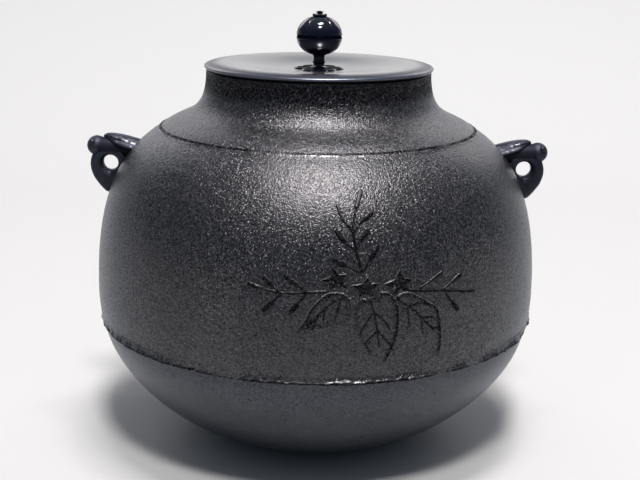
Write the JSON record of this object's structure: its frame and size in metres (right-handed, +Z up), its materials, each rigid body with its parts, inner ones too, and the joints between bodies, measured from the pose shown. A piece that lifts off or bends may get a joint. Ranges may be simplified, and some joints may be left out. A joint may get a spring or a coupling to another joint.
{
  "type": "tea kettle",
  "caption": "Round cast-iron tea-ceremony kettle with insect-shaped ring lugs, a ragged belly seam, and a scooped bronze lid that lifts off by a turning fruit-shaped knob.",
  "frame": {"origin": "on the ground, under the kettle's axis, at the middle of the flat foot", "axes": "+Z up along the kettle's axis, +X towards the right lug as seen from the front, front at -Y"},
  "size_m": [0.256, 0.245, 0.2367],
  "materials": {
    "iron_skin": "grainy lacquered casting skin, dark brown-grey",
    "iron_bottom": "smoother lacquered casting skin, dark blue-grey",
    "iron_lug": "smooth semi-gloss, blue-black",
    "iron_plate": "forged plate, set in lacquer",
    "lute": "lacquer paste with iron filings",
    "bronze_lid": "patinated bronze, satin-gloss dark grey",
    "bronze_knob": "patinated bronze, glossy blue-black"
  },
  "bodies": {
    "kettle": {"kettle_shell": "iron_skin", "kettle_bottom": "iron_bottom", "seam_lute": "lute", "lug_left": "iron_lug", "lug_right": "iron_lug", "sounding_plates": "iron_plate"},
    "lid": {"lid": "bronze_lid", "knob_seat": "bronze_knob"},
    "knob": {"knob_stem": "bronze_knob", "knob_lower_half": "bronze_knob", "knob_upper_half": "bronze_knob", "knob_rosette": "bronze_knob", "knob_tip": "bronze_knob", "knob_rivet": "bronze_knob", "rivet_washer": "bronze_knob"}
  },
  "joints": [
    {"name": "lid_lift", "type": "slide", "parent": "kettle", "child": "lid", "axis": [0, 0, 1], "range_m": [0, 0.12]},
    {"name": "knob_turn", "type": "hinge", "parent": "lid", "child": "knob", "pos_m": [0, 0, 0.2236], "axis": [0, 0, 1], "continuous": true}
  ]
}
